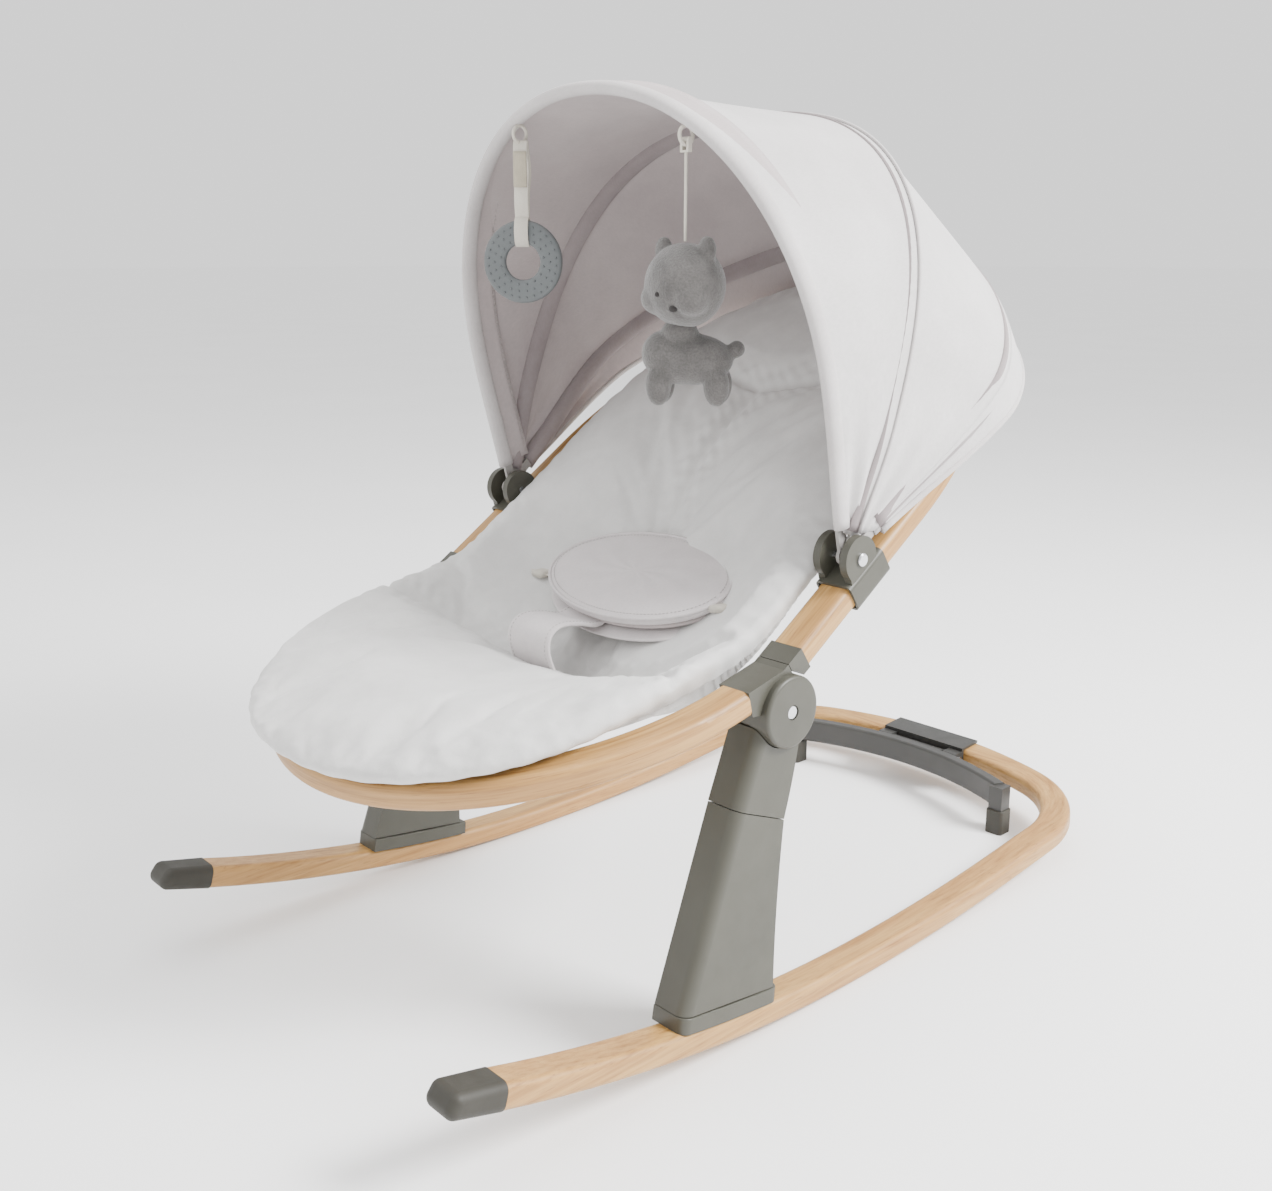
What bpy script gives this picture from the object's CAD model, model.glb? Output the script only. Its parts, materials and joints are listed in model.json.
import json
import math

import bmesh
import bpy
import numpy as np
from mathutils import Matrix, Vector


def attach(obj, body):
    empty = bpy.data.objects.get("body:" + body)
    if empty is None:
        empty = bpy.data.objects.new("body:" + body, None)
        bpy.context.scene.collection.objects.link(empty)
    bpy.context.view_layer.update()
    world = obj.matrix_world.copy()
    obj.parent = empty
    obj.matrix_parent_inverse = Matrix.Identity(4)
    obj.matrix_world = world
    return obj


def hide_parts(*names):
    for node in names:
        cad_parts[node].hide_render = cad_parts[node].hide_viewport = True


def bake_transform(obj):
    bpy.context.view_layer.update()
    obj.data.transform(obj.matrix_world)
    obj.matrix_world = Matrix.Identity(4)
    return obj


# Looks of the bouncer seat: padded one-piece cushion, folding canopy, belly harness, hanging toys,
# and the finish of every moulded, wooden and metal part. Metres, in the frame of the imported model.

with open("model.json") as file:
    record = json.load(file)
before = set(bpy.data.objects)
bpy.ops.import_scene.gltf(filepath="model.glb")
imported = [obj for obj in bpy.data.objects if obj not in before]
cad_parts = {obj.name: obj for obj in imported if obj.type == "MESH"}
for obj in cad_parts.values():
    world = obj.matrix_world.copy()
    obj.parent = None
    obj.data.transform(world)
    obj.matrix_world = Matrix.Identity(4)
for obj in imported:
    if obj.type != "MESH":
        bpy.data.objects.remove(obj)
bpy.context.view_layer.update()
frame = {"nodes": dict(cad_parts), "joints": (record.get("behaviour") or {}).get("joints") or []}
nodes = frame["nodes"]
joint_at = {joint["name"]: Vector(joint["pos_m"]) for joint in frame["joints"]}
HUB = joint_at["backrest_recline"]
PIVOT = joint_at["canopy_fold"]


# ---------------------------------------------------------------- camera, light and floor

CAMERA_AT = (0.8591, -0.8543, 0.6115)
CAMERA_TURN = math.radians(47.33)
CAMERA_TILT = math.radians(13.71)
CAMERA_LENS = 37.42
CAMERA_SHIFT = -0.0147


def make_camera():
    back = Vector((math.sin(CAMERA_TURN) * math.cos(CAMERA_TILT),
                   -math.cos(CAMERA_TURN) * math.cos(CAMERA_TILT), math.sin(CAMERA_TILT)))
    right = Vector((math.cos(CAMERA_TURN), math.sin(CAMERA_TURN), 0))
    up = back.cross(right)
    data = bpy.data.cameras.new("camera")
    data.lens = CAMERA_LENS
    data.sensor_width = 36.0
    data.shift_y = CAMERA_SHIFT
    data.clip_start = 0.02
    camera = bpy.data.objects.new("camera", data)
    camera.matrix_world = Matrix((right, up, back)).transposed().to_4x4()
    camera.location = CAMERA_AT
    bpy.context.scene.collection.objects.link(camera)
    bpy.context.scene.camera = camera


def area_light(name, place, aim, size, power, tint=(1, 1, 1)):
    data = bpy.data.lights.new(name, "AREA")
    data.shape = "RECTANGLE"
    data.size, data.size_y = size
    data.energy = power
    data.color = tint
    light = bpy.data.objects.new(name, data)
    light.location = place
    light.rotation_euler = (Vector(aim) - Vector(place)).to_track_quat("-Z", "Y").to_euler()
    bpy.context.scene.collection.objects.link(light)


def make_studio():
    area_light("key_light", (1.9, 0.9, 1.9), (0.0, 0.0, 0.25), (1.0, 1.0), 185)
    area_light("fill_light", (-0.9, -2.2, 1.3), (0.0, 0.0, 0.3), (2.4, 1.8), 16)
    area_light("top_light", (-0.3, -0.3, 2.6), (0.0, 0.0, 0.2), (2.6, 2.6), 40)
    world = bpy.data.worlds.new("studio")
    world.use_nodes = True
    sky = world.node_tree.nodes["Background"]
    sky.inputs["Color"].default_value = (1.0, 1.0, 1.0, 1.0)
    sky.inputs["Strength"].default_value = 1.35
    bpy.context.scene.world = world


# ---------------------------------------------------------------- materials

def srgb(red, green, blue):
    """Linear colour of an 8-bit display colour."""
    def channel(value):
        value /= 255
        return value / 12.92 if value <= 0.04045 else ((value + 0.055) / 1.055) ** 2.4
    return (channel(red), channel(green), channel(blue), 1.0)


class Surface:
    """A material with one principled shader, and short ways to add nodes to it."""

    def __init__(self, name, roughness=0.5, **constants):
        self.material = bpy.data.materials.new(name)
        self.material.use_nodes = True
        self.tree = self.material.node_tree
        self.shader = self.tree.nodes["Principled BSDF"]
        self.shader.inputs["Roughness"].default_value = roughness
        for socket, value in constants.items():
            self.shader.inputs[socket.replace("_", " ")].default_value = value
        self.place = self.node("ShaderNodeTexCoord").outputs["Object"]

    def node(self, kind, **settings):
        made = self.tree.nodes.new(kind)
        for name, value in settings.items():
            setattr(made, name, value)
        return made

    def put(self, value, socket):
        """Feed a socket from another socket or with a constant."""
        if isinstance(value, bpy.types.NodeSocket):
            self.tree.links.new(value, socket)
        else:
            socket.default_value = value

    def sum(self, operation, first, second=0.0, third=0.0):
        made = self.node("ShaderNodeMath", operation=operation)
        for value, socket in zip((first, second, third), made.inputs):
            self.put(value, socket)
        return made.outputs[0]

    def noise(self, scale, detail=3.0, place=None, stretch=None, rough=0.5):
        source = place or self.place
        if stretch:
            mapping = self.node("ShaderNodeMapping")
            self.put(source, mapping.inputs["Vector"])
            mapping.inputs["Scale"].default_value = stretch
            source = mapping.outputs["Vector"]
        made = self.node("ShaderNodeTexNoise")
        self.put(source, made.inputs["Vector"])
        made.inputs["Scale"].default_value = scale
        made.inputs["Detail"].default_value = detail
        made.inputs["Roughness"].default_value = rough
        return made.outputs["Fac"]

    def ramp(self, value, stops):
        made = self.node("ShaderNodeValToRGB")
        self.put(value, made.inputs["Fac"])
        elements = made.color_ramp.elements
        while len(elements) < len(stops):
            elements.new(0.5)
        for element, (position, colour) in zip(elements, stops):
            element.position = position
            element.color = colour
        return made.outputs["Color"]

    def spread(self, value, low, high, new_low, new_high):
        made = self.node("ShaderNodeMapRange")
        for name, number in (("From Min", low), ("From Max", high), ("To Min", new_low),
                             ("To Max", new_high)):
            made.inputs[name].default_value = number
        self.put(value, made.inputs["Value"])
        return made.outputs["Result"]

    def mix(self, share, first, second, blend="MIX"):
        made = self.node("ShaderNodeMix", data_type="RGBA", blend_type=blend)
        self.put(share, made.inputs["Factor"])
        first_colour, second_colour, result = 6, 7, 2
        self.put(first, made.inputs[first_colour])
        self.put(second, made.inputs[second_colour])
        return made.outputs[result]

    def shaded(self, base, grey):
        """Base colour times a grey level."""
        level = self.node("ShaderNodeCombineColor")
        for socket in level.inputs:
            self.put(grey, socket)
        return self.mix(1.0, base, level.outputs[0], "MULTIPLY")

    def colour(self, value):
        self.put(value, self.shader.inputs["Base Color"])

    def bump(self, height, distance, strength=1.0):
        made = self.node("ShaderNodeBump")
        made.inputs["Distance"].default_value = distance
        made.inputs["Strength"].default_value = strength
        self.put(height, made.inputs["Height"])
        before = self.shader.inputs["Normal"]
        if before.is_linked:
            self.put(before.links[0].from_socket, made.inputs["Normal"])
        self.put(made.outputs["Normal"], before)


def mottled(surface, dark, light, scale, low=0.3, high=0.7):
    """Soft change of tone over the surface."""
    tone = surface.noise(scale, 4.0)
    surface.colour(surface.ramp(tone, [(low, dark), (high, light)]))


def wood_surface(name, origin, tilt, half_straight, straight, aspect):
    """Light oak whose grain follows a bent tube.

    The tube lies in the plane through origin that rises by tilt towards +Y. Its ends are straight
    as far as straight, and then it bends; half_straight is where a bend begins across X."""
    surface = Surface(name, 0.46, Coat_Weight=0.12, Coat_Roughness=0.32)
    split = surface.node("ShaderNodeSeparateXYZ")
    surface.put(surface.place, split.inputs[0])
    across, back, up = split.outputs
    back = surface.sum("SUBTRACT", back, origin[1])
    up = surface.sum("SUBTRACT", up, origin[2])
    forward = 1.0 if straight >= 0 else -1.0
    cos, sin = math.cos(tilt), math.sin(tilt)
    along = surface.sum("ADD", surface.sum("MULTIPLY", back, cos * forward),
                        surface.sum("MULTIPLY", up, sin * forward))
    height = surface.sum("SUBTRACT", surface.sum("MULTIPLY", up, cos), surface.sum("MULTIPLY", back, sin))
    side = surface.sum("MAXIMUM", surface.sum("SUBTRACT", surface.sum("ABSOLUTE", across), half_straight),
                       0.0)
    beyond = surface.sum("MULTIPLY", surface.sum("MAXIMUM", surface.sum("SUBTRACT", along, abs(straight)),
                                                 0.0), aspect)
    ring = surface.sum("SQRT", surface.sum("ADD", surface.sum("MULTIPLY", side, side),
                                           surface.sum("MULTIPLY", beyond, beyond)))
    turned = surface.sum("MULTIPLY", surface.sum("ARCTAN2", beyond, side), 0.2)
    run = surface.sum("ADD", surface.sum("MINIMUM", along, abs(straight)), turned)
    run = surface.sum("SUBTRACT", run, surface.sum("MINIMUM", surface.sum("ABSOLUTE", across), half_straight))
    grain = surface.node("ShaderNodeCombineXYZ")
    for value, socket in zip((ring, run, height), grain.inputs):
        surface.put(value, socket)
    grain = grain.outputs[0]
    streaks = surface.noise(1.0, 4.0, grain, (260.0, 9.0, 260.0), 0.6)
    pores = surface.noise(1.0, 2.0, grain, (950.0, 42.0, 950.0), 0.5)
    broad = surface.noise(1.0, 2.0, grain, (34.0, 2.2, 34.0), 0.5)
    pale, mid, deep = srgb(188, 148, 88), srgb(170, 129, 72), srgb(138, 98, 48)
    base = surface.ramp(streaks, [(0.28, deep), (0.47, mid), (0.68, pale)])
    tinted = surface.mix(surface.spread(broad, 0.35, 0.7, 0.0, 0.45), base, srgb(160, 112, 60))
    flecks = surface.spread(pores, 0.60, 0.72, 0.0, 0.5)
    surface.colour(surface.mix(flecks, tinted, srgb(104, 66, 32)))
    surface.put(surface.spread(streaks, 0.3, 0.7, 0.52, 0.38), surface.shader.inputs["Roughness"])
    surface.bump(streaks, 0.00012, 0.5)
    surface.bump(pores, 0.00008, 0.4)
    return surface.material


def plastic_surface(name, dark, light, roughness, grit=1600.0, relief=0.00006):
    surface = Surface(name, roughness, Specular_IOR_Level=0.45)
    mottled(surface, dark, light, 9.0)
    fine = surface.noise(grit, 2.0)
    worn = surface.noise(60.0, 5.0, rough=0.6)
    surface.put(surface.spread(worn, 0.3, 0.7, roughness - 0.05, roughness + 0.07),
                surface.shader.inputs["Roughness"])
    surface.bump(fine, relief, 0.6)
    return surface.material


def cloth_surface(name, dark, light, thread, relief, roughness=0.88, sheen=0.15, wrinkle=0.0):
    """Woven or brushed cloth: threads of two directions, a soft change of tone and low creases."""
    surface = Surface(name, roughness, Sheen_Weight=sheen, Sheen_Roughness=0.5, Specular_IOR_Level=0.25)
    tone = surface.noise(11.0, 5.0, rough=0.62)
    fuzz = surface.noise(1.0 / thread, 2.0)
    warp = surface.noise(1.0, 1.0, stretch=(1.2 / thread, 0.12 / thread, 0.12 / thread))
    weft = surface.noise(1.0, 1.0, stretch=(0.12 / thread, 1.2 / thread, 1.2 / thread))
    threads = surface.sum("ADD", surface.sum("MULTIPLY", warp, 0.5), surface.sum("MULTIPLY", weft, 0.5))
    base = surface.ramp(tone, [(0.32, dark), (0.66, light)])
    shade = surface.spread(threads, 0.38, 0.62, 0.94, 1.03)
    surface.colour(surface.shaded(base, shade))
    surface.bump(threads, relief, 0.55)
    surface.bump(fuzz, relief * 0.6, 0.4)
    if wrinkle:
        surface.bump(surface.noise(26.0, 4.0, rough=0.55), wrinkle, 0.5)
    return surface.material


def velour_surface(name, dark, light):
    """Short brushed pile, with patches where the nap lies another way."""
    surface = Surface(name, 0.93, Sheen_Weight=0.35, Sheen_Roughness=0.45, Specular_IOR_Level=0.2)
    patches = surface.noise(14.0, 6.0, rough=0.66)
    fibres = surface.noise(900.0, 3.0, rough=0.7)
    base = surface.ramp(patches, [(0.34, dark), (0.62, light)])
    shade = surface.spread(fibres, 0.3, 0.7, 0.95, 1.02)
    surface.colour(surface.shaded(base, shade))
    surface.bump(patches, 0.0012, 0.35)
    surface.bump(fibres, 0.00035, 0.6)
    return surface.material


# Key, name, darker and lighter colour, thread size, relief of the weave, and depth of the creases.
CLOTHS = (
    ("canopy_out", "canopy_outer_cloth", (190, 187, 186), (203, 200, 199), 0.0006, 0.00012, 0.0008),
    ("canopy_in", "canopy_lining", (172, 162, 162), (186, 177, 176), 0.0006, 0.00012, 0.001),
    ("sleeve", "bow_sleeve_cloth", (140, 130, 131), (156, 147, 147), 0.0006, 0.00012, 0.0008),
    ("hem", "hem_cloth", (184, 179, 178), (198, 194, 193), 0.0006, 0.00012, 0.0),
    ("webbing", "webbing", (186, 180, 168), (204, 199, 188), 0.0009, 0.0003, 0.0),
    ("thread", "thread", (160, 154, 152), (176, 171, 169), 0.0003, 0.0001, 0.0),
)


def make_materials():
    made = {}
    made["plastic"] = plastic_surface("grey_plastic", srgb(62, 61, 53), srgb(70, 69, 60), 0.44)
    made["dark_plastic"] = plastic_surface("dark_plastic", srgb(48, 48, 46), srgb(56, 55, 53), 0.42)
    made["rubber"] = plastic_surface("rubber", srgb(42, 40, 34), srgb(50, 48, 41), 0.60, 900.0, 0.0001)
    made["bow"] = plastic_surface("bow_plastic", srgb(150, 146, 143), srgb(160, 157, 154), 0.5)
    steel = Surface("steel", 0.26, Metallic=1.0)
    steel.colour(steel.ramp(steel.noise(40.0, 3.0),
                            [(0.3, srgb(196, 197, 200)), (0.7, srgb(222, 223, 226))]))
    steel.bump(steel.noise(1.0, 2.0, stretch=(3000.0, 300.0, 300.0)), 0.00002, 0.4)
    made["steel"] = steel.material
    made["cushion"] = velour_surface("cushion_velour", srgb(196, 195, 193), srgb(210, 209, 207))
    for key, name, dark, light, thread, relief, wrinkle in CLOTHS:
        made[key] = cloth_surface(name, srgb(*dark), srgb(*light), thread, relief, wrinkle=wrinkle)
    made["pad"] = cloth_surface("pad_cloth", srgb(192, 186, 186), srgb(206, 200, 200), 0.0005, 0.0001,
                                sheen=0.25)
    made["hook_tape"] = cloth_surface("hook_tape", srgb(158, 150, 132), srgb(176, 168, 150), 0.0007, 0.0004,
                                      0.95)
    made["silicone"] = plastic_surface("silicone", srgb(88, 92, 93), srgb(98, 102, 103), 0.5, 700.0, 0.00005)
    return made


made = make_materials()


def dress(material, *names):
    """Give CAD nodes a finish, without touching their meshes."""
    for name in names:
        slots = nodes[name].material_slots
        if slots:
            for slot in slots:
                slot.material = material
        else:
            nodes[name].data.materials.append(material)


def pair(name):
    return name + "_left", name + "_right"


SEAT_ANGLE = math.radians(13.9)
BACK_ANGLE = math.radians(34.0)
MEET = Vector((0.0, HUB.y, HUB.z + 0.024))
BACK_STRAIGHT = 0.1966


def dress_frame():
    wood_base = wood_surface("base_oak", (0, 0, 0), 0.0, 0.110, 0.317, 1.0)
    wood_seat = wood_surface("seat_oak", MEET, SEAT_ANGLE, 0.0, -0.042, 0.93)
    wood_back = wood_surface("back_oak", MEET, BACK_ANGLE, 0.0, BACK_STRAIGHT, 0.78)
    dress(wood_base, *pair("rocker_runner"), "rocker_rear_bow")
    dress(wood_seat, "seat_hoop")
    dress(wood_back, "back_hoop")
    for name in ("leg_foot", "leg_lower", "leg_upper", "seat_socket", "back_socket", "canopy_bracket"):
        dress(made["plastic"], *pair(name))
    dress(made["rubber"], *pair("runner_cap"), *pair("stand_tip"))
    dress(made["dark_plastic"], "stand_bar", "stand_bracket")
    dress(made["steel"], *pair("hub_bolt"), *pair("canopy_pin"), *pair("bow_peg"), "stand_pin")
    dress(made["bow"], "canopy_bow_front", "canopy_bow_middle", "canopy_bow_rear")


# ---------------------------------------------------------------- mesh helpers

def mesh_object(name, points, faces, materials, face_slots=None):
    mesh = bpy.data.meshes.new(name)
    mesh.from_pydata([tuple(point) for point in points], [], [tuple(face) for face in faces])
    for material in materials:
        mesh.materials.append(material)
    if face_slots is not None:
        mesh.polygons.foreach_set("material_index", np.asarray(face_slots, np.int32))
    mesh.shade_smooth()
    mesh.validate()
    piece = bpy.data.objects.new(name, mesh)
    bpy.context.scene.collection.objects.link(piece)
    fix_normals(piece)
    return piece


def fix_normals(piece):
    work = bmesh.new()
    work.from_mesh(piece.data)
    bmesh.ops.recalc_face_normals(work, faces=work.faces)
    work.to_mesh(piece.data)
    work.free()


def apply_modifiers(piece):
    graph = bpy.context.evaluated_depsgraph_get()
    mesh = bpy.data.meshes.new_from_object(piece.evaluated_get(graph))
    old = piece.data
    piece.modifiers.clear()
    piece.data = mesh
    bpy.data.meshes.remove(old)
    mesh.name = piece.name


def subdivide(piece, levels=1):
    modifier = piece.modifiers.new("smooth", "SUBSURF")
    modifier.levels = levels
    modifier.render_levels = levels
    apply_modifiers(piece)


def grid_quads(rows, columns, start=0, wrap_rows=False, wrap_columns=False):
    faces = []
    for i in range(rows if wrap_rows else rows - 1):
        for j in range(columns if wrap_columns else columns - 1):
            a = start + i * columns + j
            b = start + i * columns + (j + 1) % columns
            c = start + ((i + 1) % rows) * columns + (j + 1) % columns
            d = start + ((i + 1) % rows) * columns + j
            faces.append((a, b, c, d))
    return faces


def sheet_mesh(name, outer, inner, materials, rim_slot=0):
    """Thin closed sheet from two equal grids of points: outer face, inner face and rim."""
    rows, columns, _ = outer.shape
    count = rows * columns
    points = np.concatenate([outer.reshape(-1, 3), inner.reshape(-1, 3)])
    faces = grid_quads(rows, columns)
    slots = [0] * len(faces)
    faces += [tuple(reversed([index + count for index in face])) for face in faces[:]]
    slots += [min(1, len(materials) - 1)] * (len(faces) - len(slots))
    border = [j for j in range(columns)]
    border += [i * columns + columns - 1 for i in range(1, rows)]
    border += [(rows - 1) * columns + j for j in range(columns - 2, -1, -1)]
    border += [i * columns for i in range(rows - 2, 0, -1)]
    for a, b in zip(border, border[1:] + border[:1]):
        faces.append((a, b, b + count, a + count))
        slots.append(rim_slot)
    return mesh_object(name, points, faces, materials, slots)


def sweep(name, path, section, materials, normals=None, closed=False):
    """Sweep a closed section of (side, out) pairs along a path; normals gives the out direction."""
    path = np.asarray(path, float)
    count = len(path)
    if closed:
        run = np.roll(path, -1, 0) - np.roll(path, 1, 0)
    else:
        run = np.gradient(path, axis=0)
    run /= np.linalg.norm(run, axis=1, keepdims=True)
    if normals is None:
        normals = np.tile(np.array([0.0, 0.0, 1.0]), (count, 1))
    out = normals - (normals * run).sum(1, keepdims=True) * run
    out /= np.linalg.norm(out, axis=1, keepdims=True)
    side = np.cross(run, out)
    sections = section if callable(section) else (lambda share: section)
    points = []
    size = 0
    for number in range(count):
        shape = sections(number / (count - 1))
        size = len(shape)
        for a, b in shape:
            points.append(path[number] + side[number] * a + out[number] * b)
    faces = grid_quads(count, size, wrap_rows=closed, wrap_columns=True)
    if not closed:
        faces.append(tuple(reversed(range(size))))
        faces.append(tuple((count - 1) * size + k for k in range(size)))
    return mesh_object(name, points, faces, materials)


def round_section(radius, sides=10, flat=1.0):
    return [(radius * math.cos(2 * math.pi * k / sides), radius * flat * math.sin(2 * math.pi * k / sides))
            for k in range(sides)]


def strap_section(width, thick, bulge=0.0):
    """Flat webbing with rounded edges."""
    half, edge = width / 2, thick / 2
    return [(half - edge, -edge), (half - edge * 0.3, -edge * 0.7), (half, 0),
            (half - edge * 0.3, edge * 0.7),
            (half - edge, edge), (0, edge + bulge), (-half + edge, edge), (-half + edge * 0.3, edge * 0.7),
            (-half, 0), (-half + edge * 0.3, -edge * 0.7), (-half + edge, -edge), (0, -edge + bulge)]


def smooth_path(points, steps):
    """Catmull-Rom curve through a few points."""
    points = [np.asarray(point, float) for point in points]
    padded = [2 * points[0] - points[1]] + points + [2 * points[-1] - points[-2]]
    made_points = []
    for k in range(1, len(padded) - 2):
        a, b, c, d = padded[k - 1:k + 3]
        last = k == len(padded) - 3
        for step in range(steps + (1 if last else 0)):
            t = step / steps
            made_points.append(0.5 * (2 * b + (c - a) * t + (2 * a - 5 * b + 4 * c - d) * t ** 2
                                      + (3 * b - a - 3 * c + d) * t ** 3))
    return np.array(made_points)


def stitches(name, path, normals, pitch, material, length=0.0026, radius=0.00045):
    """A row of short sewn stitches on a surface."""
    path = np.asarray(path, float)
    steps = np.linalg.norm(np.diff(path, axis=0), axis=1)
    reach = np.concatenate([[0], np.cumsum(steps)])
    points, faces = [], []
    for number in range(int(reach[-1] / pitch)):
        centre = (number + 0.5) * pitch
        ends = [np.array([np.interp(value, reach, path[:, k]) for k in range(3)])
                for value in (centre - length / 2, centre, centre + length / 2)]
        out = np.array([np.interp(centre, reach, normals[:, k]) for k in range(3)])
        out /= np.linalg.norm(out)
        run = ends[2] - ends[0]
        run /= np.linalg.norm(run)
        side = np.cross(run, out)
        start = len(points)
        for place, lift, size in ((ends[0], 0.0, 0.5), (ends[1], 0.6, 1.0), (ends[2], 0.0, 0.5)):
            for k in range(6):
                angle = math.pi * k / 3
                points.append(place + out * radius * (lift + size * math.sin(angle))
                              + side * radius * size * math.cos(angle))
        faces += grid_quads(3, 6, start, wrap_columns=True)
        faces.append(tuple(start + k for k in range(6)))
        faces.append(tuple(start + 12 + k for k in reversed(range(6))))
    return mesh_object(name, points, faces, [material])


def smoothstep(value, low, high):
    share = np.clip((value - low) / (high - low), 0, 1)
    return share * share * (3 - 2 * share)


# ---------------------------------------------------------------- cushion

HALF_WIDTH = 0.198
FOOT_REACH = 0.303
HEAD_REACH = 0.492
CUSHION_THICK = 0.038
TUBE_TOP = 0.01025


def middle_line():
    """Table of the cushion's middle line in side view: distance, Y, Z and slope."""
    along = np.linspace(-0.34, 0.54, 881)
    slope = SEAT_ANGLE + (BACK_ANGLE - SEAT_ANGLE) * smoothstep(along, -0.045, 0.045)
    step = along[1] - along[0]
    back = np.cumsum(np.cos(slope)) * step
    up = np.cumsum(np.sin(slope)) * step
    zero = np.searchsorted(along, 0.0)
    return along, back - back[zero] + MEET.y, up - up[zero] + MEET.z, slope


LINE = middle_line()


def place_on_line(along, across, height):
    """Frame point of cushion coordinates."""
    slope = np.interp(along, LINE[0], LINE[3])
    back = np.interp(along, LINE[0], LINE[1]) - np.sin(slope) * height
    up = np.interp(along, LINE[0], LINE[2]) + np.cos(slope) * height
    return np.stack([across + 0 * back, back, up], -1)


def read_off_line(points):
    """Cushion coordinates (along, across, height) of frame points."""
    table = np.stack([LINE[1], LINE[2]], -1)
    along = np.empty(len(points))
    height = np.empty(len(points))
    for start in range(0, len(points), 4000):
        part = points[start:start + 4000, 1:]
        offset = part[:, None, :] - table[None, ::2, :]
        nearest = (offset ** 2).sum(-1).argmin(1) * 2
        slope = LINE[3][nearest]
        rest = part - table[nearest]
        along[start:start + 4000] = LINE[0][nearest] + rest[:,
                                                            0] * np.cos(slope) + rest[:, 1] * np.sin(slope)
        height[start:start + 4000] = rest[:, 1] * np.cos(slope) - rest[:, 0] * np.sin(slope)
    return along, points[:, 0], height


def sag(along):
    """How far the middle hangs below the rim."""
    lowest = 0.020
    reach = np.where(along > lowest, 0.210, 0.300)
    share = np.clip(np.abs(along - lowest) / reach, 0, 1)
    hip = 0.012 * np.exp(-((along + 0.036) / 0.024) ** 2)
    return 0.060 * np.cos(share * np.pi / 2) ** 2 + hip


def edge_norm(along, across):
    """0 at the middle of the cushion and 1 on its outline."""
    foot_start, head_start = -0.035, 0.190
    foot = np.clip((foot_start - along) / (FOOT_REACH + foot_start), 0, None)
    head = np.clip((along - head_start) / (HEAD_REACH - head_start), 0, None)
    side = np.abs(across) / outline_width(along)
    return (side ** 2.3 + (foot + head) ** 2.3) ** (1 / 2.3)


def outline_width(along):
    """Half width that the outline would have without its rounded ends."""
    return HALF_WIDTH + 0.012 * smoothstep(-along, 0.06, 0.22) + 0.004 * smoothstep(along, 0.2, 0.4)


def cushion_middle(along, across):
    """Height of the cushion's middle surface over the hoops' middle plane."""
    seat_share = smoothstep(-along, -0.02, 0.05)
    rim = TUBE_TOP + 0.0135 + 0.006 * seat_share
    depth = 1.0 + 0.16 * seat_share
    inner = 0.195 * np.sqrt(np.clip(1 - np.clip((-along - 0.042) / 0.216, 0, 1) ** 2
                                    - np.clip((along - BACK_STRAIGHT) / 0.268, 0, 1) ** 2, 1e-6, 1))
    middle = np.clip(1 - (across / inner) ** 2, 0, 1)
    return rim - sag(along) * middle ** 0.75 * depth


def make_cushion_body():
    """Closed starting form: a rounded slab that hangs between the tubes."""
    rows, columns = 120, 61
    spread = 0.5 - 0.5 * np.cos(np.linspace(0, np.pi, rows))
    along_rows = -FOOT_REACH + (FOOT_REACH + HEAD_REACH) * spread
    layers = []
    for side in (1, -1):
        layer = []
        for along in along_rows:
            reach = max(0.0, 1 - edge_norm(along, 0.0) ** 2.3) ** (1 / 2.3) * float(outline_width(along))
            across = np.linspace(-1, 1, columns)
            across = np.sign(across) * (1 - (1 - np.abs(across)) ** 1.5) * reach
            inside = np.clip((1 - edge_norm(along, across)) * 0.2 / 0.024, 0, 1)
            thick = (CUSHION_THICK - 0.006) * np.sqrt(np.clip(1 - (1 - inside) ** 2, 0, 1))
            height = cushion_middle(along, across) + side * thick / 2
            layer.append(place_on_line(np.full(columns, along), across, height))
        layers.append(np.array(layer))
    return sheet_mesh("cushion", layers[0], layers[1], [made["cushion"]])


def seam_distance(along, across):
    """Distance to the nearest sewn seam on the cushion's face."""
    crease = np.abs(along - (-0.040 - 0.024 * (np.abs(across) / 0.15) ** 2))
    fork = 0.285
    centre = np.hypot(np.abs(across), np.clip(along - fork, 0, None) + np.clip(0.045 - along, 0, None))
    branch = np.abs(along - (fork + 0.30 * np.abs(across))) * 0.92
    return np.minimum(crease, np.minimum(centre, branch))


def on_top(along, across, height):
    return height > cushion_middle(along, across)


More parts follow.
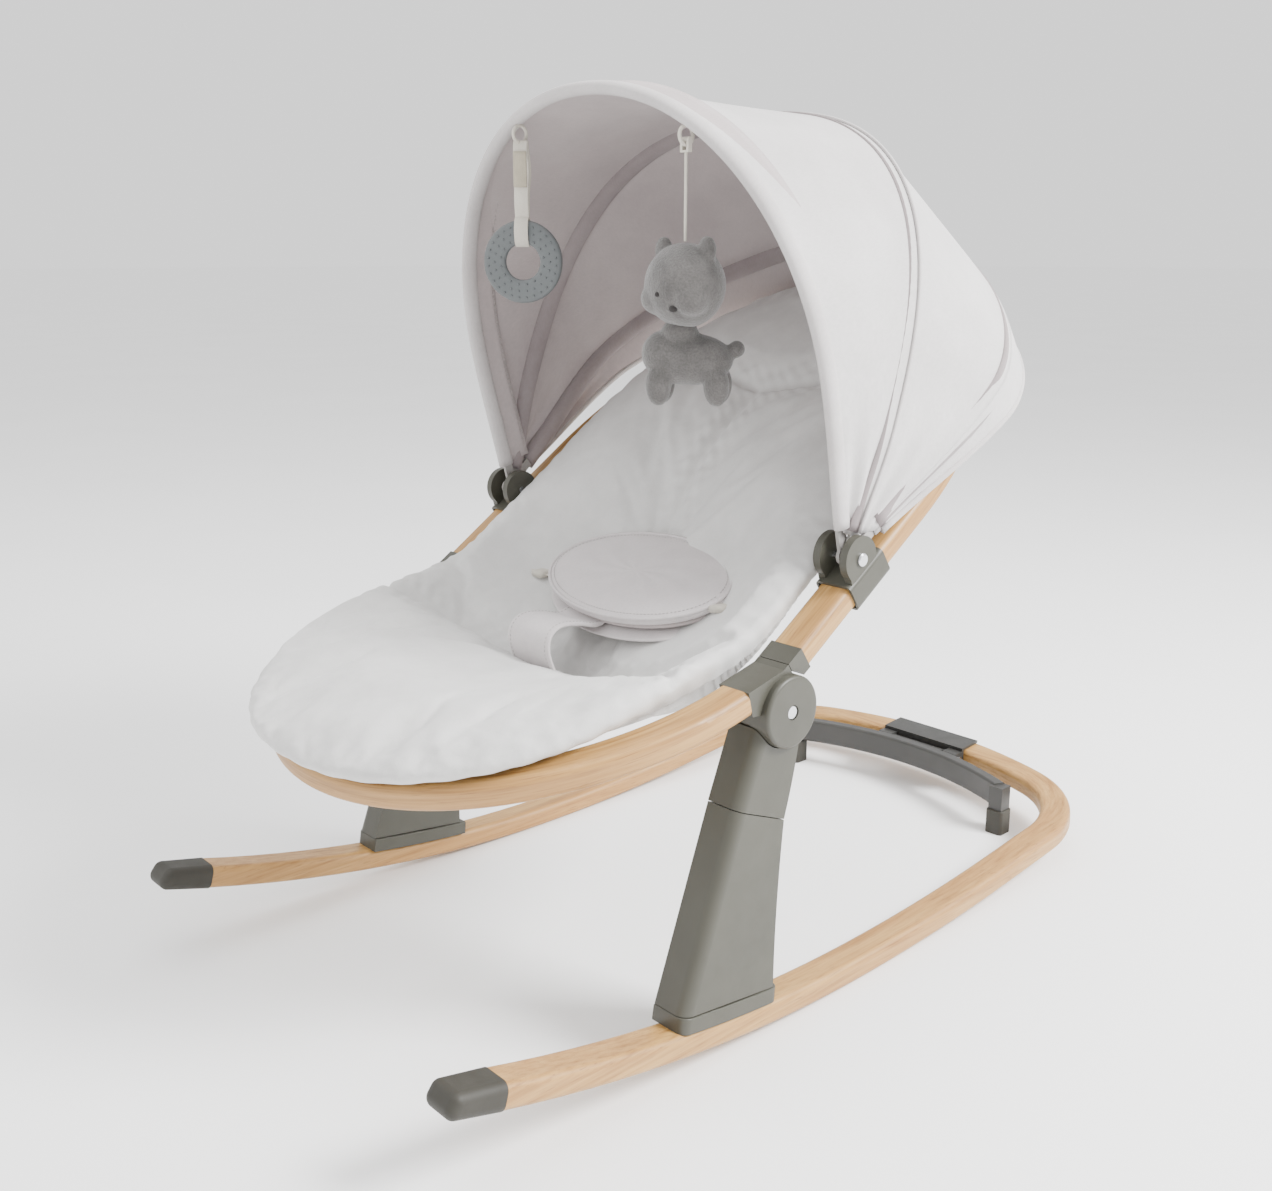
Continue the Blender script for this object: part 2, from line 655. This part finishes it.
def puff_cushion(piece):
    """Swell the padded form with a short cloth simulation, held at its seams and underneath."""
    remesh = piece.modifiers.new("remesh", "REMESH")
    remesh.mode = "VOXEL"
    remesh.voxel_size = 0.0055
    apply_modifiers(piece)
    rest = np.array([vertex.co for vertex in piece.data.vertices])
    along, across, height = read_off_line(rest)
    top = on_top(along, across, height)
    seam = seam_distance(along, across) < 0.0045
    held = piece.vertex_groups.new(name="held")
    strong = [int(index) for index in np.nonzero(~top | seam)[0]]
    held.add(strong, 1.0, "REPLACE")
    cloth = piece.modifiers.new("cloth", "CLOTH")
    settings = cloth.settings
    settings.quality = 5
    settings.mass = 0.3
    settings.tension_stiffness = 12.0
    settings.compression_stiffness = 8.0
    settings.shear_stiffness = 6.0
    settings.bending_stiffness = 0.4
    settings.use_pressure = True
    settings.uniform_pressure_force = 4.0
    settings.vertex_group_mass = "held"
    settings.shrink_min = -0.008
    settings.effector_weights.gravity = 0.0
    cloth.collision_settings.use_collision = False
    cloth.collision_settings.use_self_collision = False
    cloth.point_cache.frame_start = 1
    cloth.point_cache.frame_end = 20
    for number in range(1, 21):
        bpy.context.scene.frame_set(number)
    graph = bpy.context.evaluated_depsgraph_get()
    puffed = piece.evaluated_get(graph).to_mesh()
    moved = np.array([vertex.co for vertex in puffed.vertices])
    piece.evaluated_get(graph).to_mesh_clear()
    piece.modifiers.clear()
    bpy.context.scene.frame_set(1)
    shift = moved - rest
    length = np.linalg.norm(shift, axis=1, keepdims=True)
    most = 0.010
    shift *= np.minimum(1, most / np.maximum(length, 1e-9))
    piece.data.vertices.foreach_set("co", (rest + shift).ravel())
    piece.data.update()


def finish_cushion(piece):
    """Seams pressed in, small gathers beside them, and a sewn welt round the rim."""
    subdivide(piece)
    count = len(piece.data.vertices)
    points = np.empty(count * 3)
    piece.data.vertices.foreach_get("co", points)
    points = points.reshape(-1, 3)
    normals = np.empty(count * 3)
    piece.data.vertices.foreach_get("normal", normals)
    normals = normals.reshape(-1, 3)
    along, across, height = read_off_line(points)
    top = on_top(along, across, height)
    seam = seam_distance(along, across)
    groove = 0.0042 * np.exp(-(seam / 0.0055) ** 2) * top
    ripple = np.sin(along * 310 + 4 * np.sin(across * 37)) * np.sin(across * 270 + 5 * np.sin(along * 23))
    gather = 0.0011 * np.exp(-((seam - 0.012) / 0.012) ** 2) * ripple * top
    rim = edge_norm(along, across)
    border = 0.0003 * np.sin(np.arctan2(across,
                                        along - 0.05) * 71 + 3 * np.sin(along * 19)) * smoothstep(rim, 0.88,
                                                                                                  0.97)
    points += normals * (gather + border - groove)[:, None]
    low = TUBE_TOP + 0.0012
    over_tube = np.abs(edge_norm(along, across)) > 0.9
    sink = np.where(over_tube & (height < low) & (height > -0.02), low - height, 0.0)
    slope = np.interp(along, LINE[0], LINE[3])
    points[:, 1] -= np.sin(slope) * sink
    points[:, 2] += np.cos(slope) * sink
    piece.data.vertices.foreach_set("co", points.ravel())
    piece.data.shade_smooth()
    piece.data.update()


def make_cushion():
    piece = make_cushion_body()
    puff_cushion(piece)
    finish_cushion(piece)
    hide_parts("seat_cushion", "back_cushion")
    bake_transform(piece)
    return piece


# ---------------------------------------------------------------- canopy

# Each bow: tilt back from upright in degrees, half width, height over the pivot, where it is
# widest, squareness of the arch, and the lane of its eye in the bracket's fork.
BOWS = (
    (-13.3, 0.220, 0.371, 0.135, 2.10, 0.2152),
    (18.7, 0.229, 0.370, 0.110, 2.60, 0.2192),
    (50.5, 0.2475, 0.400, 0.200, 1.60, 0.2232),
    (59.8, 0.244, 0.385, 0.200, 1.75, 0.2232),
)
LEG_SHARE = 0.3
FABRIC_THICK = 0.0013


def bow_values(share):
    """Arch at a share of the way over the bows, with the cloth drawn tight between two of them."""
    first = min(int(share), 2)
    part = share - first
    pair_of_bows = np.array(BOWS[first:first + 2])
    blend = pair_of_bows[0] * (1 - part) + pair_of_bows[1] * part
    tilts = np.radians(pair_of_bows[:, 0])
    apex_back = np.interp(part, (0, 1), pair_of_bows[:, 2] * np.sin(tilts))
    apex_up = np.interp(part, (0, 1), pair_of_bows[:, 2] * np.cos(tilts))
    tight = math.hypot(apex_back, apex_up) / blend[2]
    blend[0] = math.degrees(math.atan2(apex_back, apex_up))
    blend[2:4] *= tight
    return blend


def arch_points(share, turns, offset, lean=0.0):
    """Points of one arch; offset stands outwards and lean goes back across the bow's plane."""
    tilt, half, height, widest, square, lane = bow_values(share)
    turns = np.asarray(turns, float)
    offset = np.broadcast_to(offset, turns.shape)
    lower = turns < LEG_SHARE
    climb = np.clip(turns / LEG_SHARE, 0, 1)
    x_low = lane + (half - lane) * (1 - np.cos(climb * np.pi)) / 2 + offset
    angle = np.clip((turns - LEG_SHARE) / (1 - LEG_SHARE), 0, 1) * np.pi / 2
    x_high = (half + offset) * np.abs(np.cos(angle)) ** (2 / square)
    up_high = widest + (height + offset - widest) * np.sin(angle) ** (2 / square)
    x = np.where(lower, x_low, x_high)
    up = np.where(lower, widest * climb, up_high)
    tilt = math.radians(tilt)
    back = PIVOT.y + up * math.sin(tilt) + lean * math.cos(tilt)
    rise = PIVOT.z + up * math.cos(tilt) - lean * math.sin(tilt)
    return np.stack([x, back, rise], -1)


def both_sides(half):
    """Whole arch from its left half; the last point is the apex."""
    other = half[-2::-1] * np.array([-1.0, 1.0, 1.0])
    return np.concatenate([half, other])


def arch_turns(start, count=56):
    spaced = np.linspace(0, 1, count)
    return start + (1 - start) * spaced


def whole_arch(share, start, offset, lean=0.0, count=56):
    return both_sides(arch_points(share, arch_turns(start, count), offset, lean))


def arch_normals(share, start, count=56):
    near = whole_arch(share, start, 0.0, 0.0, count)
    far = whole_arch(share, start, 0.004, 0.0, count)
    out = far - near
    return out / np.linalg.norm(out, axis=1, keepdims=True)


CLOTH_START = 0.045


def cloth_offset(turns, base):
    """The cloth closes in on the bows where it enters the bracket's fork."""
    return base * smoothstep(turns, 0.0, 0.16) + 0.0022 * (1 - smoothstep(turns, 0.0, 0.16))


def canopy_panel(name, first, last, rows, slack):
    """One panel of cloth from share first to share last, drawn in a little between its bows."""
    turns = arch_turns(CLOTH_START)
    layers = []
    for base in (0.0052, 0.0052 - FABRIC_THICK):
        layer = []
        for share in np.linspace(first, last, rows):
            inside = (share - first) / (last - first)
            belly = math.sin(math.pi * inside)
            pleat = 0.0022 * np.sin(inside * 4 * np.pi + 0.6) * belly * np.exp(-((turns - 0.16) / 0.10) ** 2)
            dent = slack * belly * smoothstep(turns, 0.12, 0.55)
            layer.append(both_sides(arch_points(share, turns, cloth_offset(turns, base) + pleat - dent)))
        layers.append(np.array(layer))
    return sheet_mesh(name, layers[0], layers[1], [made["canopy_out"], made["canopy_in"]])


def half_sleeve(width, depth):
    """Section of a bow's sleeve sewn inside the canopy: flat against the cloth, round inside."""
    section = [(width / 2 * math.cos(math.pi * k / 10),
                -depth * math.sin(math.pi * k / 10)) for k in range(11)]
    return [(a, b + 0.0036) for a, b in section]


def apex_of(share):
    return arch_points(share, [1.0], 0.0)[0]


def make_canopy():
    front = canopy_panel("canopy_cloth_front", 0.0, 1.0, 25, 0.002)
    rear = canopy_panel("canopy_cloth_rear", 1.0, 2.0, 25, 0.002)
    skirt = canopy_panel("canopy_cloth_skirt", 2.0, 3.0, 9, 0.0)
    for piece, node, size, area in ((front, "canopy_fabric_front", (1.12, 0.24), 0.134),
                                    (rear, "canopy_fabric_rear", (1.22, 0.28), 0.160),
                                    (skirt, "canopy_skirt", (1.20, 0.075), 0.045)):
        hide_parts(node)
    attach(skirt, "backrest")
    apex_of(2.0)
    apex_of(1.0)
    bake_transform(rear)
    apex_of(1.0)
    apex_of(0.0)
    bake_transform(front)

    start = 0.055
    normals = {share: arch_normals(share, start) for share in (0.0, 1.0, 2.0, 3.0)}
    hem = sweep("canopy_front_hem", whole_arch(0.0, start, 0.0022),
                [(0.0080 * math.cos(math.pi * k / 8),
                  0.0054 * math.sin(math.pi * k / 8)) for k in range(16)],
                [made["hem"]], normals[0.0])
    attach(hem, "canopy_front")
    facing = band_on_arch("canopy_front_facing", 0.0, 0.004, 0.030, 0.0030, made["canopy_in"])
    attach(facing, "canopy_front")
    for number, lean in enumerate((0.0085, 0.0275)):
        path = whole_arch(0.0, 0.09, 0.0016, lean, 160)
        row = stitches(f"front_stitch_row_{number + 1}", path, -arch_normals(0.0, 0.09, 160), 0.0042,
                       made["thread"])
        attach(row, "canopy_front")
    for share, body, label in ((1.0, "canopy_middle", "middle"), (2.0, "backrest", "rear")):
        sleeve = sweep(f"canopy_{label}_sleeve", whole_arch(share, start, 0.0), half_sleeve(0.021, 0.0075),
                       [made["sleeve"]], normals[share])
        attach(sleeve, body)
        for number, lean in enumerate((-0.0095, 0.0095)):
            path = whole_arch(share, 0.09, 0.0014, lean, 120)
            row = stitches(f"{label}_stitch_row_{number + 1}", path, -arch_normals(share, 0.09, 120), 0.0045,
                           made["thread"])
            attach(row, body)
    piping = sweep("canopy_seam_piping", whole_arch(1.0, start, 0.0060), round_section(0.0015, 8),
                   [made["hem"]],
                   normals[1.0])
    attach(piping, "canopy_middle")
    lower = sweep("canopy_skirt_hem", whole_arch(3.0, start, 0.0044), round_section(0.0030, 10, 0.7),
                  [made["hem"]],
                  normals[3.0])
    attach(lower, "backrest")


def band_on_arch(name, share, lean_from, lean_to, offset, material):
    """Flat band that lies inside the canopy's cloth, beside a bow."""
    turns = arch_turns(0.06)
    layers = []
    for lift in (offset, offset - 0.0009):
        layer = [both_sides(arch_points(share, turns, cloth_offset(turns, lift), lean))
                 for lean in np.linspace(lean_from, lean_to, 5)]
        layers.append(np.array(layer))
    return sheet_mesh(name, layers[0], layers[1], [material])


# ---------------------------------------------------------------- harness

BELLY_CENTRE = Vector((0.024, -0.0815, 0.334))
BELLY_TILT = math.radians(27.0)
BELLY_HALF = (0.107, 0.058)


def on_belly(across, along, lift):
    """Frame point of belly pad coordinates."""
    cos, sin = math.cos(BELLY_TILT), math.sin(BELLY_TILT)
    return np.stack([BELLY_CENTRE.x + across, BELLY_CENTRE.y + along * cos - lift * sin,
                     BELLY_CENTRE.z + along * sin + lift * cos], -1)


def oval_pad(name, half, low, high, crown, material):
    """Stuffed oval: rings from the middle of the top, round the rim, to the middle underneath."""
    sides = 96
    angles = np.linspace(0, 2 * np.pi, sides, endpoint=False)
    rings = []
    middle, thick = (low + high) / 2, (high - low) / 2
    for reach in (0.0, 0.15, 0.3, 0.45, 0.6, 0.72, 0.82, 0.90, 0.955):
        rings.append((reach, high + crown * (1 - reach ** 2)))
    for turn in (60, 30, 0, -30, -60):
        angle = math.radians(turn)
        rings.append((0.972 + 0.028 * math.cos(angle), middle + thick * math.sin(angle)))
    for reach in (0.955, 0.8, 0.6, 0.3, 0.0):
        rings.append((reach, low - 0.3 * crown * (1 - reach ** 2)))
    points = []
    for reach, lift in rings:
        dimple = 0.0004 * np.sin(angles * 9 + reach * 7) * math.sin(math.pi * min(reach, 1.0))
        points.append(on_belly(half[0] * reach * np.cos(angles), half[1] * reach * np.sin(angles),
                               lift + dimple))
    points = np.concatenate(points)
    faces = grid_quads(len(rings), sides, wrap_columns=True)
    piece = mesh_object(name, points, faces, [material])
    work = bmesh.new()
    work.from_mesh(piece.data)
    bmesh.ops.remove_doubles(work, verts=work.verts, dist=1e-5)
    bmesh.ops.recalc_face_normals(work, faces=work.faces)
    work.to_mesh(piece.data)
    work.free()
    subdivide(piece)
    return piece


def make_harness():
    pad = oval_pad("belly_pad_cover", BELLY_HALF, -0.0042, 0.0036, 0.0035, made["pad"])
    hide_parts("belly_pad")
    angles = np.linspace(0, 2 * np.pi, 120, endpoint=False)
    rim = on_belly((BELLY_HALF[0] - 0.0012) * np.cos(angles), (BELLY_HALF[1] - 0.0012) * np.sin(angles),
                   0.0030)
    out = np.tile(np.array([0, -math.sin(BELLY_TILT), math.cos(BELLY_TILT)]), (120, 1))
    piping = sweep("belly_pad_piping", rim, round_section(0.0017, 8), [made["pad"]], out, closed=True)
    inner = on_belly((BELLY_HALF[0] - 0.006) * np.cos(angles), (BELLY_HALF[1] - 0.006) * np.sin(angles),
                     0.0044)
    row = stitches("belly_pad_stitches", np.concatenate([inner, inner[:1]]), np.concatenate([out, out[:1]]),
                   0.0036,
                   made["thread"], 0.0022, 0.00035)
    back = oval_pad("belly_pad_back", (BELLY_HALF[0] - 0.003, BELLY_HALF[1] - 0.003), -0.0098, -0.0052, 0.0,
                    made["canopy_in"])

    route = smooth_path([(0, -0.181, 0.268), (0, -0.1868, 0.286), (0, -0.184, 0.300), (0, -0.172, 0.3065),
                         (0, -0.152, 0.3045), (0, -0.130, 0.300), (0, -0.105, 0.311)], 10)
    run = np.gradient(route, axis=0)
    run /= np.linalg.norm(run, axis=1, keepdims=True)
    upward = np.cross(np.array([1.0, 0, 0]), run)
    strap = sweep("crotch_strap_cloth", route, strap_section(0.056, 0.0034), [made["pad"]], upward)
    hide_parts("crotch_strap")
    rows = []
    for side in (-1, 1):
        edge = route + np.array([side * 0.0235, 0, 0]) + upward * 0.0017
        rows.append(stitches(f"crotch_stitches_{'left' if side > 0 else 'right'}", edge, upward, 0.0038,
                             made["thread"], 0.0023, 0.00035))

    belt_path = []
    for degrees in np.linspace(-178, 8, 60):
        angle = math.radians(degrees)
        belt_path.append(on_belly(0.094 * math.cos(angle), 0.049 * math.sin(angle), -0.0155))
    belt_up = np.tile(np.array([0, -math.sin(BELLY_TILT), math.cos(BELLY_TILT)]), (60, 1))
    belt = sweep("belly_belt", np.array(belt_path), strap_section(0.030, 0.0026), [made["pad"]], belt_up)
    for piece in (pad, piping, row, back, strap, belt, *rows):
        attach(piece, "harness")

    for side, points in (("left", [(0.118, 0.326), (0.134, 0.329), (0.147, 0.331), (0.160, 0.333)]),
                         ("right", [(-0.072, 0.318), (-0.100, 0.317), (-0.128, 0.320), (-0.150, 0.325)])):
        path = smooth_path([(x, BELLY_CENTRE.y, z) for x, z in points], 8)
        along = np.gradient(path, axis=0)
        along /= np.linalg.norm(along, axis=1, keepdims=True)
        facing = np.cross(along, np.array([0, 1.0, 0]))
        webbing = sweep(f"side_webbing_{side}", path, strap_section(0.025, 0.0018), [made["webbing"]],
                        -facing)
        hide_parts(f"side_strap_{side}")
        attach(webbing, "backrest")
        loop_at = path[len(path) // 3]
        keeper = sweep(f"side_keeper_{side}",
                       loop_at + np.array([[0, y, 0] for y in np.linspace(-0.0165, 0.0165, 7)]),
                       strap_section(0.017, 0.0062), [made["webbing"]],
                       np.tile(-facing[len(path) // 3], (7, 1)))
        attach(keeper, "backrest")


# ---------------------------------------------------------------- toys

PLUSH = Vector((0.113, -0.115, 0.588))
PLUSH_TURN = math.radians(37.0)
TRUNK = Vector((0.003, 0.006, -0.057))
FACE = Vector((0.417, -0.902, -0.136)).normalized()


def lump(work, centre, radii, turn=None):
    """Add an ellipsoid to a mesh in the making."""
    matrix = Matrix.Translation(centre) @ (turn or Matrix.Identity(4)) @ Matrix.Diagonal((*radii, 1.0))
    bmesh.ops.create_uvsphere(work, u_segments=28, v_segments=18, radius=1.0, matrix=matrix)


def stuffed(name, work, materials, voxel=0.0016):
    """One soft skin over the lumps."""
    mesh = bpy.data.meshes.new(name)
    work.to_mesh(mesh)
    work.free()
    piece = bpy.data.objects.new(name, mesh)
    bpy.context.scene.collection.objects.link(piece)
    remesh = piece.modifiers.new("skin", "REMESH")
    remesh.mode = "VOXEL"
    remesh.voxel_size = voxel
    soften = piece.modifiers.new("soften", "SMOOTH")
    soften.iterations = 8
    soften.factor = 0.6
    apply_modifiers(piece)
    piece.data.materials.clear()
    for material in materials:
        piece.data.materials.append(material)
    piece.data.shade_smooth()
    return piece


def plush_surface(name):
    """Plain grey pile."""
    surface = Surface(name, 0.95, Sheen_Weight=0.5, Sheen_Roughness=0.5, Specular_IOR_Level=0.15)
    fur = surface.noise(620.0, 3.0, rough=0.7)
    tone = surface.noise(70.0, 4.0)
    base = surface.ramp(tone, [(0.3, srgb(84, 82, 80)), (0.7, srgb(108, 105, 103))])
    surface.colour(surface.mix(surface.spread(fur, 0.35, 0.65, 0.0, 0.55), base, srgb(62, 60, 59)))
    surface.bump(fur, 0.0009, 0.9)
    return surface.material


def on_face(side, up, lift=0.0):
    """Point on the head at side and up, seen from the front."""
    across = FACE.cross(Vector((0, 0, 1))).normalized()
    over = across.cross(FACE).normalized()
    aim = across * side + over * up
    near, far = 0.0, 0.05
    for _ in range(24):
        middle = (near + far) / 2
        point = aim + FACE * middle
        inside = (point.x / 0.036) ** 2 + (point.y / 0.029) ** 2 + (point.z / 0.033) ** 2 < 1
        near, far = (middle, far) if inside else (near, middle)
    return np.array(PLUSH + aim + FACE * (near + lift))


def make_plush():
    head = bmesh.new()
    lump(head, PLUSH, (0.0352, 0.0284, 0.0324))
    for side in (1, -1):
        lump(head, PLUSH + Vector((side * 0.0235, 0.0, 0.0265)), (0.0088, 0.0055, 0.0110))
        lump(head, PLUSH + Vector((side * 0.0180, -0.010, -0.0100)), (0.0150, 0.0150, 0.0130))
    fur = plush_surface("plush_pile")
    skin = stuffed("plush_head_skin", head, [fur])
    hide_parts("plush_head")

    dark = cloth_surface("dark_thread", srgb(40, 38, 38), srgb(52, 49, 48), 0.0003, 0.0001)
    pieces = [skin]
    for side in (1, -1):
        eye = bmesh.new()
        lump(eye, Vector(on_face(side * 0.0135, -0.0030, -0.0008)), (0.0021, 0.0021, 0.0021))
        pieces.append(stuffed(f"plush_eye_{'left' if side > 0 else 'right'}", eye, [dark], 0.0005))
    work = bmesh.new()
    lump(work, Vector(on_face(0.0, -0.0135, -0.0006)), (0.0040, 0.0032, 0.0028))
    pieces.append(stuffed("plush_nose", work, [dark], 0.0007))

    body = bmesh.new()
    lump(body, TRUNK, (0.0355, 0.0195, 0.0205))
    lump(body, TRUNK + Vector((-0.020, 0, 0.004)), (0.018, 0.0180, 0.0185))
    for side in (1, -1):
        for depth in (-0.0095, 0.0095):
            lump(body, TRUNK + Vector((side * 0.0230, depth, -0.0200)), (0.0105, 0.0086, 0.0165))
    lump(body, Vector((-0.004, 0.001, -0.036)), (0.0150, 0.0130, 0.0110))
    lump(body, TRUNK + Vector((0.0370, 0.004, 0.0080)), (0.0070, 0.0070, 0.0070))
    turn = Matrix.Translation(PLUSH) @ Matrix.Rotation(PLUSH_TURN, 4, "Z")
    bmesh.ops.transform(body, matrix=turn, verts=body.verts)
    skin = stuffed("plush_body_skin", body, [fur])
    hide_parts("plush_body")
    pieces.append(skin)
    for piece in pieces:
        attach(piece, "plush")
    dress(made["webbing"], "plush_cord", "toy_loop_left", "toy_loop_right")


TEETHER = Vector((-0.087, -0.117, 0.605))
RING_FACE = Vector((0.60, -0.80, 0.0))
RING_SIDE = Vector((0.80, 0.60, 0.0))
RING_OUTER, RING_INNER, RING_THICK = 0.0355, 0.0155, 0.0075


def on_ring(radius, angle, out):
    """Frame point on the teething ring."""
    across, up = radius * math.cos(angle), radius * math.sin(angle)
    return TEETHER + RING_SIDE * across + Vector((0, 0, up)) + RING_FACE * out


def make_teether():
    middle = (RING_OUTER + RING_INNER) / 2
    half = (RING_OUTER - RING_INNER) / 2
    section = [(math.copysign(abs(math.cos(turn)) ** 0.6, math.cos(turn)) * half,
                math.copysign(abs(math.sin(turn)) ** 0.6, math.sin(turn)) * RING_THICK / 2)
               for turn in np.linspace(0, 2 * np.pi, 20, endpoint=False)]
    points = [on_ring(middle + across, angle, out) for angle in np.linspace(0, 2 * np.pi, 96, endpoint=False)
              for across, out in section]
    ring = mesh_object("teether_ring_body", points, grid_quads(96, 20, wrap_rows=True, wrap_columns=True),
                       [made["silicone"]])
    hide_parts("teether_ring")
    dots = bmesh.new()
    for radius, count in ((0.0195, 16), (0.0252, 22), (0.0308, 28)):
        for number in range(count):
            for face in (1, -1):
                at = on_ring(radius, 2 * math.pi * (number + 0.5 * (count % 4 == 0)) / count,
                             face * RING_THICK / 2)
                matrix = Matrix.Translation(at) @ Matrix.Scale(0.0011, 4)
                bmesh.ops.create_icosphere(dots, subdivisions=1, radius=1.0, matrix=matrix)
    mesh = bpy.data.meshes.new("teether_dots")
    dots.to_mesh(mesh)
    dots.free()
    mesh.materials.append(made["silicone"])
    mesh.shade_smooth()
    knobs = bpy.data.objects.new("teether_dots", mesh)
    bpy.context.scene.collection.objects.link(knobs)

    side = np.array(RING_FACE)
    wrap = []
    for turn in np.linspace(0, 2 * np.pi, 24, endpoint=False):
        across, out = math.cos(turn) * (half + 0.0022), math.sin(turn) * (RING_THICK / 2 + 0.0022)
        wrap.append(on_ring(middle + across, math.pi / 2, out))
    centre = np.mean(np.array(wrap), axis=0)
    band = sweep("teether_wrap", np.array(wrap), strap_section(0.0125, 0.0014), [made["webbing"]],
                 np.array(wrap) - centre, closed=True)
    top = Vector((TEETHER.x, TEETHER.y, 0.7065))
    low = on_ring(RING_OUTER + 0.0015, math.pi / 2, 0.0)
    drops = []
    for sign, label in ((1, "front"), (-1, "back")):
        route = smooth_path([low + RING_FACE * 0.0012 * sign, low.lerp(top, 0.3) + RING_FACE * 0.0026 * sign,
                             low.lerp(top, 0.6) + RING_FACE * 0.0040 * sign + RING_SIDE * 0.0015,
                             low.lerp(top, 0.88) + RING_FACE * 0.0034 * sign,
                             top + RING_FACE * 0.0012 * sign], 8)
        drops.append(sweep(f"teether_webbing_{label}", route, strap_section(0.0125, 0.0013),
                           [made["webbing"]],
                           np.tile(side * sign, (len(route), 1))))
    patch_path = np.array([low.lerp(top,
                                    share) + RING_FACE * 0.0052 for share in np.linspace(0.40, 0.86, 9)])
    drops.append(sweep("teether_hook_tape", patch_path, strap_section(0.0118, 0.0012), [made["hook_tape"]],
                       np.tile(side, (9, 1))))
    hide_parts("teether_strap")
    for piece in (ring, knobs, band, *drops):
        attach(piece, "teether")


# ---------------------------------------------------------------- assemble

def make_floor():
    size = 60.0
    points = [(-size, -size, 0), (size, -size, 0), (size, size, 0), (-size, size, 0)]
    surface = Surface("floor_paper", 0.95)
    mottled(surface, srgb(250, 250, 250), srgb(253, 253, 253), 2.0)
    floor = mesh_object("floor", points, [(0, 1, 2, 3)], [surface.material])


make_camera()
make_studio()
make_floor()
dress_frame()
make_cushion()
make_canopy()
make_harness()
make_plush()
make_teether()
